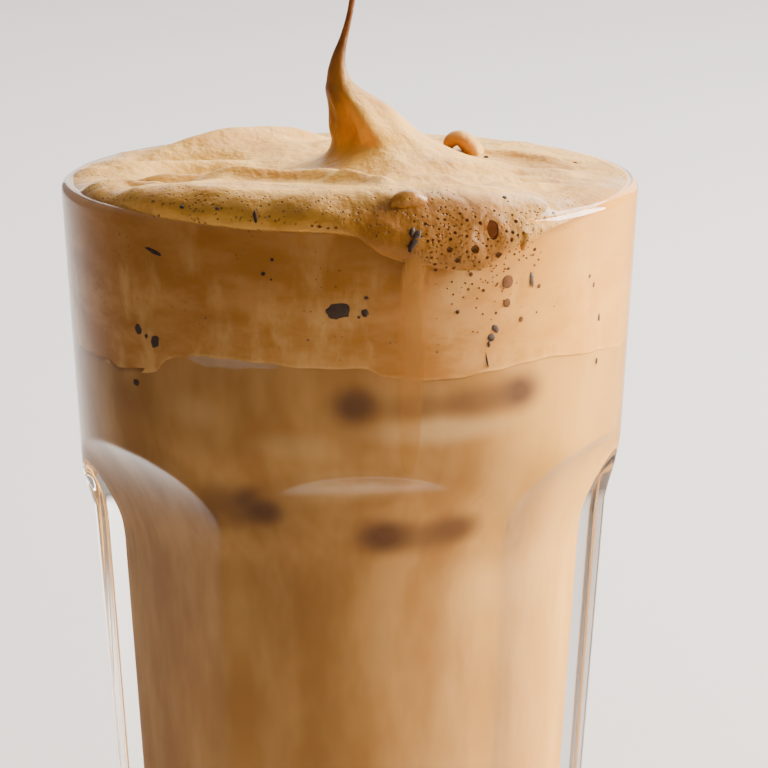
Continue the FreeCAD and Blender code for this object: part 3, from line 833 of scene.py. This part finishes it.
# middle across, along and up, and turns about X, Y, Z in degrees
CUBES = (
    (-9, -10, 88, 12, 20, 15), (14, -7, 90, -18, 8, 40), (3, 13, 92, 25, -12, 70), (-6, -4, 63, 8, 30, -20),
    (8, 6, 40, -12, 18, 35),
)
bpy.ops.object.select_all(action="DESELECT")
bpy.ops.mesh.primitive_cube_add(size=ICE_SIDE)
first = bpy.context.object
bpy.ops.object.mode_set(mode="EDIT")
bpy.ops.mesh.bevel(offset=3.2, segments=4, affect="EDGES")
bpy.ops.mesh.subdivide(number_cuts=3)
bpy.ops.object.mode_set(mode="OBJECT")
for vertex in first.data.vertices:
    inward = 1 - 0.16 * math.exp(-((vertex.co.length - ICE_SIDE / 2) ** 2) / 6)
    vertex.co *= inward * (1 + 0.05 * noise.noise(vertex.co / 6))
cubes = []
for n, (x, y, z, a, b, c) in enumerate(CUBES):
    cube = bpy.data.objects.new(f"cube_{n}", first.data.copy())
    bpy.context.scene.collection.objects.link(cube)
    turn = Matrix.Rotation(math.radians(c), 4, "Z") @ Matrix.Rotation(math.radians(b), 4, "Y")
    turn = turn @ Matrix.Rotation(math.radians(a), 4, "X")
    cube.data.transform(Matrix.Scale(MM, 4) @ Matrix.Translation((x, y, z)) @ turn)
    cubes.append(cube)
bpy.data.objects.remove(first, do_unlink=True)
ice = gathered("ice_cubes", cubes)

# %% [markdown]
# ## Camera, floor and light
# A long lens stands a little above the rim. The light is a large soft window at the right and
# slightly behind, a bright sheet behind, and a soft one overhead that keeps the floor pale. The
# left side is left to the dim room, and that gives the drink its roundness.

# %% the camera
rim_centre = Vector((0, 0, RING_Z * MM))
DISTANCE, ELEVATION, PITCH = 0.600, math.radians(9.7), math.radians(12.55)
SIDE_STEP = 0.0051  # the camera stands this far towards +X, so the glass is left of the middle
lens = bpy.data.cameras.new("camera")
lens.lens = 187.4
lens.sensor_width = 36
camera = bpy.data.objects.new("camera", lens)
bpy.context.scene.collection.objects.link(camera)
away, over = DISTANCE * math.cos(ELEVATION), DISTANCE * math.sin(ELEVATION)
camera.location = rim_centre + Vector((SIDE_STEP, -away, over))
camera.rotation_euler = (math.pi / 2 - PITCH, 0, 0)
bpy.context.scene.camera = camera

# %% [markdown]
# ## Floor, card and lamps
# The floor is pale. Clear glass would mirror it as a bright haze over the drink, so a dark card
# lies on it that only mirrors see. Neither the camera nor the drink's light is changed by it.

# %% floor and lamps
HAIR = 0.0005  # floor and card lie this far below and above the foot's level, metres


def plane(name, size, height):
    """A level square of the stage, sizes in metres."""
    bpy.ops.object.select_all(action="DESELECT")
    bpy.ops.mesh.primitive_plane_add(size=size, location=(0, 0, height))
    bpy.context.object.name = name
    return bpy.context.object


def lamp(name, place, aim, size, watts, colour):
    """A soft square lamp."""
    light = bpy.data.lights.new(name, "AREA")
    light.size = size
    light.energy = watts
    light.color = colour
    holder = bpy.data.objects.new(name, light)
    bpy.context.scene.collection.objects.link(holder)
    holder.location = place
    holder.rotation_euler = (Vector(aim) - Vector(place)).to_track_quat("-Z", "Y").to_euler()


floor = plane("floor", 12, -HAIR)
card = plane("dark_card", 5, HAIR)
card.visible_camera = False
card.visible_diffuse = False
card.visible_transmission = False
card.visible_shadow = False  # what is left sees it in mirrors only
lamp("window", (0.95, 0.22, 0.42), (0, 0, 0.09), 0.6, 46, (1.0, 0.95, 0.86))
lamp("backdrop", (0.3, 2.6, 0.85), (0, 0, 0.12), 2.2, 30, (1.0, 0.98, 0.95))
lamp("ceiling", (0.5, 0.8, 1.1), (0.2, 0.6, 0), 1.1, 34, (1.0, 0.98, 0.96))

# %% [markdown]
# ## Materials as expressions
# A pattern is easier to read as arithmetic than as a drawing of nodes. Value wraps one socket,
# and a sum, difference or product of Values adds the Math node that does it. Paint holds a
# material's nodes and adds any other node by its type, settings and sockets.


# %% values and paints
class Value:
    """One output socket; arithmetic on it adds Math nodes."""

    def __init__(self, paint, socket):
        self.paint = paint
        self.socket = socket

    def made(self, operation, first, second=None):
        """A Math node on one or two values."""
        values = {0: first} if second is None else {0: first, 1: second}
        return self.paint.node("ShaderNodeMath", {"operation": operation}, values)

    def __add__(self, other):
        return self.made("ADD", self, other)

    def __radd__(self, other):
        return self.made("ADD", other, self)

    def __sub__(self, other):
        return self.made("SUBTRACT", self, other)

    def __rsub__(self, other):
        return self.made("SUBTRACT", other, self)

    def __mul__(self, other):
        return self.made("MULTIPLY", self, other)

    def __rmul__(self, other):
        return self.made("MULTIPLY", other, self)

    def root(self):
        return self.made("SQRT", self)

    def limited(self):
        """Kept between 0 and 1."""
        return self.made("MINIMUM", self.made("MAXIMUM", self, 0.0), 1.0)

    def step(self, low, high):
        """A soft step: 0 below low, 1 above high; the other way round if low is the greater."""
        limits = {"From Min": min(low, high), "From Max": max(low, high)}
        ends = {"To Min": 0.0, "To Max": 1.0} if low < high else {"To Min": 1.0, "To Max": 0.0}
        settings = {"interpolation_type": "SMOOTHSTEP"}
        return self.paint.node("ShaderNodeMapRange", settings, {"Value": self, **limits, **ends})


class Paint:
    """A material's nodes."""

    def __init__(self, material, **fixed):
        material.use_nodes = True
        self.tree = material.node_tree
        self.shader = self.tree.nodes.get("Principled BSDF")
        for name, number in fixed.items():
            self.shader.inputs[name.replace("_", " ")].default_value = number

    def node(self, kind, settings, values, out=0):
        """Any node: its type, its settings, which are set first, and the values or links of its sockets."""
        node = self.tree.nodes.new(kind)
        for name, setting in settings.items():
            setattr(node, name, setting)
        for name, given in values.items():
            if isinstance(given, Value):
                self.tree.links.new(given.socket, node.inputs[name])
            else:
                node.inputs[name].default_value = given
        return Value(self, node.outputs[out])

    def place(self):
        """The point on the object in millimetres, as a vector."""
        point = self.node("ShaderNodeTexCoord", {}, {}, "Object")
        return self.node("ShaderNodeVectorMath", {"operation": "SCALE"}, {0: point, "Scale": 1 / MM})

    def parts(self, vector):
        """The three numbers of a vector."""
        return [self.node("ShaderNodeSeparateXYZ", {}, {0: vector}, out) for out in range(3)]

    def stretched(self, vector, scale, shift=(0, 0, 0)):
        """A vector measured in a frame moved by shift and scaled, for long or flat patterns."""
        values = {"Vector": vector, "Location": shift, "Scale": scale}
        return self.node("ShaderNodeMapping", {"vector_type": "TEXTURE"}, values)

    def noise(self, vector, size, detail=2.0, rough=0.5):
        """Noise between 0 and 1 with lumps of about size millimetres."""
        values = {"Vector": vector, "Scale": 1 / size, "Detail": detail, "Roughness": rough}
        return self.node("ShaderNodeTexNoise", {}, values, "Fac")

    def cells(self, vector, size):
        """Distance to the nearest of scattered points, about size millimetres apart."""
        return self.node("ShaderNodeTexVoronoi", {}, {"Vector": vector, "Scale": 1 / size}, "Distance")

    def spot(self, vector, middle, reach):
        """1 in the middle of a soft ellipsoid, 0 outside its reach."""
        local = self.stretched(vector, reach, middle)
        far = self.node("ShaderNodeVectorMath", {"operation": "LENGTH"}, {0: local}, "Value")
        return far.step(1.0, 0.15)

    def mixed(self, mask, low, high):
        """A colour between low, where the mask is 0, and high, where it is 1."""
        sides = {0: mask, 6: low, 7: high}
        return self.node("ShaderNodeMix", {"data_type": "RGBA", "clamp_factor": True}, sides, 2)

    def set(self, **inputs):
        """Link what changes over the surface to the shader."""
        for name, given in inputs.items():
            self.tree.links.new(given.socket, self.shader.inputs[name.replace("_", " ")])

    def surface(self, mask, low, high):
        """End in a blend of two shaders."""
        blend = self.node("ShaderNodeMixShader", {}, {0: mask, 1: low, 2: high})
        self.tree.links.new(blend.socket, self.tree.nodes["Material Output"].inputs["Surface"])

    def bumped(self, height, strength, distance):
        """A bump from a height between 0 and 1; distance is its depth in metres."""
        values = {"Height": height, "Strength": strength, "Distance": distance}
        self.set(Normal=self.node("ShaderNodeBump", {}, values))


def painted(name, piece, **fixed):
    """A new material on a piece."""
    material = bpy.data.materials.new(name)
    piece.data.materials.append(material)
    return Paint(material, **fixed)


# %% [markdown]
# ## The room
# The room is a plain sky: bright behind and overhead, dim in front and on the left. What the
# glass mirrors towards the viewer is then dark enough for the drink's own colour to show.

# %% the room
world = bpy.data.worlds.new("room")
bpy.context.scene.world = world
paint = Paint(world)
ahead = paint.node("ShaderNodeTexCoord", {}, {}, "Generated")
right, far, up = paint.parts(ahead)
glow = 0.07 + 0.34 * far.step(0.0, 0.9) + 0.25 * up.step(0.3, 1.0) + 0.12 * right.step(0.3, 1.0)
sky = paint.mixed(glow, (0.0, 0.0, 0.0, 1), (1.0, 0.97, 0.94, 1))
background = paint.tree.nodes["Background"]
paint.tree.links.new(sky.socket, background.inputs["Color"])

# %% [markdown]
# ## Foam and coffee
# Milk and coffee scatter light inside them, red furthest, which is why the edge of the light
# is warm. Where the foam is thin or has drained, at the overrun and up the thread, it is a
# darker amber, and under the overhang of the overrun that amber is also painted shade. The
# peak's left flank and the small pores are darkened as painted shade, and the curl is made
# amber, partly its own tone and partly painted shade on its left. Behind the glass it is
# flatter and paler, streaked where milk runs in it, and its lower edge catches a thin light line.

# %% foam in the open
CREAM = (0.92, 0.50, 0.085, 1)
TAN = (0.70, 0.33, 0.048, 1)
AMBER = (0.31, 0.118, 0.014, 1)
UMBER = (0.17, 0.082, 0.032, 1)
DARK = (0.105, 0.036, 0.006, 1)
SCATTER = {"Subsurface_Weight": 0.14, "Subsurface_Scale": 0.003, "Subsurface_Radius": (1.0, 0.42, 0.16)}
paint = Paint(foam_open, IOR=1.40, Specular_IOR_Level=0.22, Coat_IOR=1.35, Coat_Roughness=0.12, **SCATTER)
point = paint.place()
x, y, z = paint.parts(point)
reach = (x * x + y * y).root()
clouds = paint.noise(point, 9.0, 3.0)
front = reach.step(37.8, 41.5)
thread = z.step(139.0, 150.0)
# Amber on the overrun: drained coffee at its front, and painted shade under its overhang.
overhang_drain_and_shade = paint.spot(point, (13.0, -42.0, 128.0), (20.0, 14.0, 10.0))
drained_and_shade = (front * (0.30 + 0.45 * clouds) + overhang_drain_and_shade * 0.9).limited()
tone = paint.mixed(clouds.step(0.3, 0.7), TAN, CREAM)
tone = paint.mixed(drained_and_shade, tone, AMBER)
tone = paint.mixed(thread, tone, UMBER)
# The small pores are painted dark, as painted shade in their hollows, and bumped in.
pores = paint.cells(point, 0.85)
pore_field = paint.noise(point, 5.0, 2.0).step(0.42, 0.62) * reach.step(35.0, 40.0)
pore = pores.step(0.30, 0.14) * pore_field
tone = paint.mixed(pore * 0.7, tone, DARK)
# Painted shade: the peak's left flank, turned away from the window, darkened to umber.
flank_shade = paint.spot(point, (-3.6, -2.5, 141.0), (4.2, 7.0, 10.5))
# The curl is made amber: partly its own tone, partly painted shade on its left side.
hook = paint.spot(point, (CURL_X - 1.0, CURL_Y, CURL_Z + 1.0), (6.0, 6.0, 4.5))
cone = paint.spot(point, (3.0, -2.0, 143.0), (10.0, 9.0, 15.0))
tone = paint.mixed(cone * 0.35, tone, AMBER)
tone = paint.mixed(flank_shade * 0.9, tone, UMBER)
tone = paint.mixed(hook * 0.85, tone, AMBER)
fine = paint.noise(point, 1.6, 4.0)
wet = paint.noise(paint.stretched(point, (2.6, 1.0, 1.0)), 8.0, 3.0).step(0.46, 0.66)
paint.set(Base_Color=tone, Roughness=0.34 + 0.22 * fine, Coat_Weight=wet * (0.2 + 0.6 * front))
paint.bumped(0.7 * fine - 0.8 * pore + 1.4 * paint.noise(point, 4.0, 3.0), 0.7, 0.0006)

# %% [markdown]
# ## Foam behind the glass
# Against the wall the foam is wet and even, with pale wisps of milk drawn down it, deeper
# towards the lip, and painted lighter and more golden on the right, as painted light from the window.

# %% foam behind the glass
BEHIND_TAN = (0.62, 0.305, 0.085, 1)
BEHIND_PALE = (0.76, 0.44, 0.14, 1)
BEHIND_DEEP = (0.46, 0.195, 0.038, 1)
BEHIND_LIT_GOLD = (0.78, 0.37, 0.035, 1)
paint = Paint(foam_behind, IOR=1.40, Specular_IOR_Level=0.03)
point = paint.place()
x, y, z = paint.parts(point)
streaks = paint.noise(paint.stretched(point, (1.0, 1.0, 0.45)), 11.0, 4.0, 0.6)
tone = paint.mixed(streaks.step(0.36, 0.66), BEHIND_DEEP, BEHIND_TAN)
wisps = paint.noise(paint.stretched(point, (1.0, 1.0, 2.4), (40, 0, 0)), 6.0, 5.0, 0.6)
tone = paint.mixed(wisps.step(0.48, 0.70) * 0.8, tone, BEHIND_PALE)
high = z.step(116.0, 126.0)
tone = paint.mixed(high * 0.45, tone, BEHIND_DEEP)
above_line = paint.node("ShaderNodeAttribute", {"attribute_name": "above_line"}, {}, "Fac")
tone = paint.mixed(above_line.step(0.6, 0.12) * wisps.step(0.35, 0.6) * 0.6, tone, BEHIND_PALE)
# Painted light: the side towards the window at the right is painted lighter and more golden.
painted_light_right = x.step(12.0, 33.0)
tone = paint.mixed(painted_light_right * 0.6, tone, BEHIND_LIT_GOLD)
specks = paint.cells(point, 1.1).step(0.20, 0.10) * paint.noise(point, 7.0).step(0.5, 0.7)
tone = paint.mixed(specks * 0.5, tone, DARK)
paint.set(Base_Color=tone, Roughness=0.6 + 0.2 * wisps)

# %% [markdown]
# ## Bubbles and flecks
# The inside of a bubble is painted dark and moist, as painted shade in the hole. A fleck is
# nearly black and rough. The lenses at the wall lie between the two, also dark as painted shade.

# %% the inside of a bubble, the flecks and the lenses at the wall
# Painted shade: a bubble's inside is coloured dark for the shade in the hole.
paint = Paint(bubble_inside, Specular_IOR_Level=0.5)
inner = paint.noise(paint.place(), 0.8)
tone = paint.mixed(inner, (0.17, 0.062, 0.012, 1), (0.30, 0.12, 0.028, 1))
paint.set(Base_Color=tone, Roughness=0.25 + 0.2 * inner)

paint = painted("coffee_fleck", coffee_flecks, Specular_IOR_Level=0.4)
inner = paint.noise(paint.place(), 0.5, 4.0)
tone = paint.mixed(inner, (0.016, 0.008, 0.004, 1), (0.085, 0.038, 0.016, 1))
paint.set(Base_Color=tone, Roughness=0.45 + 0.3 * inner)
paint.bumped(inner, 0.6, 0.0002)

# Painted shade: the lenses are dark for the shade inside the bubbles behind the glass.
paint = painted("wall_bubble", wall_bubbles, Specular_IOR_Level=0.1)
inner = paint.noise(paint.place(), 0.7, 3.0)
tone = paint.mixed(inner, (0.085, 0.032, 0.010, 1), (0.22, 0.085, 0.022, 1))
paint.set(Base_Color=tone, Roughness=0.5 + 0.2 * inner)

# %% [markdown]
# ## The coffee's colour
# Milky coffee is even, but the ice near the wall shows as soft dark blurs with paler milk
# between them, and the drink is a little darker towards the foot. Its right side is painted
# lighter and more golden, as painted light from the window.

# %% milky coffee
MILKY = (0.48, 0.255, 0.080, 1)
MILKY_DEEP = (0.34, 0.160, 0.042, 1)
MILKY_PALE = (0.66, 0.41, 0.165, 1)
MILKY_LIT_GOLD = (0.80, 0.40, 0.050, 1)
BLUR = (0.125, 0.060, 0.028, 1)
# angle, height, reach across, reach up, strength
BLURS = (
    (1.5, 103.7, 5.2, 4.4, 1.0), (28, 103.4, 7.5, 4.0, 0.75), (38.0, 104.1, 6.5, 4.6, 0.95),
    (15, 103.2, 9.0, 3.2, 0.5), (-22.2, 88.0, 4.6, 4.4, 1.0), (-29, 87.8, 8.0, 5.0, 0.6),
    (9.1, 83.0, 6.4, 5.2, 1.0), (29, 84.0, 6.4, 4.8, 0.9),
    (19, 82.6, 9.0, 4.6, 0.6), (-52, 101.5, 7.0, 4.0, 0.2),
)
PALES = (
    (20, 99.7, 15.0, 3.2, 0.7), (-12, 97.5, 8.0, 3.0, 0.3), (-34, 101.5, 6.0, 4.0, 0.35),
    (0, 91.5, 10.0, 3.2, 0.35),
)
paint = painted("milky_coffee", coffee, IOR=1.34, Specular_IOR_Level=0.02)
point = paint.place()
x, y, z = paint.parts(point)
drift = paint.noise(paint.stretched(point, (1.0, 1.0, 2.6)), 9.0, 3.0, 0.55)
tone = paint.mixed(drift.step(0.32, 0.68), MILKY_DEEP, MILKY)
tone = paint.mixed(z.step(70.0, 40.0) * 0.25, tone, MILKY_DEEP)
# Painted light: the side towards the window at the right is painted lighter and more golden.
painted_light_right = x.step(12.0, 33.0)
tone = paint.mixed(painted_light_right * 0.5, tone, MILKY_LIT_GOLD)
for table, colour in ((PALES, MILKY_PALE), (BLURS, BLUR)):
    for degrees, height, across, up, strength in table:
        middle, sideways, out = in_wall(degrees, height, 0.0)
        patch = paint.spot(point, tuple(middle), (across, across, up)) * (0.7 + 0.6 * drift)
        tone = paint.mixed((patch * strength).limited(), tone, colour)
paint.set(Base_Color=tone, Roughness=0.6 + 0.2 * drift)

# %% [markdown]
# ## Runs, ice and floor
# A run of coffee on the glass is a clear amber film, so part of the light goes straight through
# it: a Mix Shader between the amber and a transparent shader, thinner towards its end. The ice
# is clear glass-like ice, and the floor a matt pale paint with a trace of unevenness.

# %% runs and strands
paint = painted("coffee_film", run, Specular_IOR_Level=0.5, IOR=1.36)
point = paint.place()
x, y, z = paint.parts(point)
veil = paint.noise(paint.stretched(point, (1.0, 1.0, 4.0)), 2.0, 3.0)
tone = paint.mixed(veil, (0.42, 0.17, 0.025, 1), (0.56, 0.25, 0.05, 1))
paint.set(Base_Color=tone, Roughness=0.12 + 0.15 * veil)
through = paint.node("ShaderNodeBsdfTransparent", {}, {"Color": (1.0, 0.97, 0.92, 1)})
aside = x.made("ARCTAN2", x, 0 - y) - math.radians(12.4)
solid = z.step(92.0, 127.0) * (aside * aside).step(0.0022, 0.0003) * 0.62
paint.surface(solid.limited(), through, Value(paint, paint.shader.outputs[0]))
for strand in (drop, curl, small_fold):
    strand.data.materials.append(foam_open)

# %% [markdown]
# ## Ice
# Clear ice, frosted in patches where it melts unevenly.

# %% the ice
paint = painted("ice", ice, Transmission_Weight=1.0, IOR=1.31)
frost = paint.noise(paint.place(), 6.0, 3.0)
tone = paint.mixed(frost, (0.93, 0.95, 0.96, 1), (0.98, 0.99, 1.0, 1))
paint.set(Base_Color=tone, Roughness=0.04 + 0.2 * frost.step(0.5, 0.8))

# %% [markdown]
# ## Floor and card
# The card covers the floor where the front and sides of the glass would mirror it. It fades out
# behind, where a bright edge is wanted, and next to the foot, which sees its floor from near by.

# %% the floor and the card
paint = painted("dark_cloth", card, Specular_IOR_Level=0.0)
x, y, z = paint.parts(paint.place())
nap = paint.noise(paint.place(), 30.0, 2.0)
heading = x.made("ARCTAN2", x, 0 - y)
left_far, left_near, right_near, right_far = (math.radians(a) for a in (-178, -152, 30, 75))
ahead = heading.step(left_near, math.radians(-95)) * heading.step(-left_far, -left_near)
near = (x * x + y * y).root().step(36.0, 50.0)
beside = heading.step(right_near, right_far) * ahead
cover = (0.06 + 0.84 * ahead - 0.12 * beside) * near
cloth = paint.mixed(nap, (0.008, 0.008, 0.008, 1), (0.012, 0.011, 0.010, 1))
paint.set(Base_Color=cloth, Roughness=0.9 + 0.1 * nap, Alpha=cover)

paint = painted("pale_floor", floor, Specular_IOR_Level=0.1)
clouds = paint.noise(paint.place(), 220.0, 2.0)
tone = paint.mixed(clouds, (0.72, 0.675, 0.655, 1), (0.76, 0.715, 0.695, 1))
paint.set(Base_Color=tone, Roughness=0.8 + 0.1 * clouds)

# %% [markdown]
# ## The glass
# Clear pressed glass bends light and lets it through. Its shadow rays pass straight on, so the
# drink inside is lit softly without the noise of true caustics. A faint unevenness in its
# roughness is the handling that any glass shows.

# %% clear glass
paint = painted("clear_glass", tumbler, Transmission_Weight=1.0, IOR=1.50)
handled = paint.noise(paint.place(), 14.0, 3.0)
smear = handled.step(0.45, 0.8) * 0.012
tone = paint.mixed(handled, (0.975, 0.985, 0.98, 1), (0.99, 0.99, 0.985, 1))
paint.set(Base_Color=tone, Roughness=smear)
straight = paint.node("ShaderNodeBsdfTransparent", {}, {})
shadow = paint.node("ShaderNodeLightPath", {}, {}, "Is Shadow Ray")
paint.surface(shadow, Value(paint, paint.shader.outputs[0]), straight)

# %% [markdown]
# ## Tying the pieces to the frame
# Every piece rides on the one body, and three stand for the CAD solids of glass, coffee and
# foam, which are hidden.

# %% tie the pieces and hide the CAD solids
PIECES = (
    (tumbler, "glass"), (coffee, "coffee"), (ice, "coffee"), (foam, "foam"), (curl, "foam"),
    (small_fold, "foam"), (run, "coffee"), (drop, "foam"), (coffee_flecks, "foam"), (wall_bubbles, "foam"),
)
for piece, slot in PIECES:
    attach(piece, "root")
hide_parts("glass")
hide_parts("coffee")
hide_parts("foam")
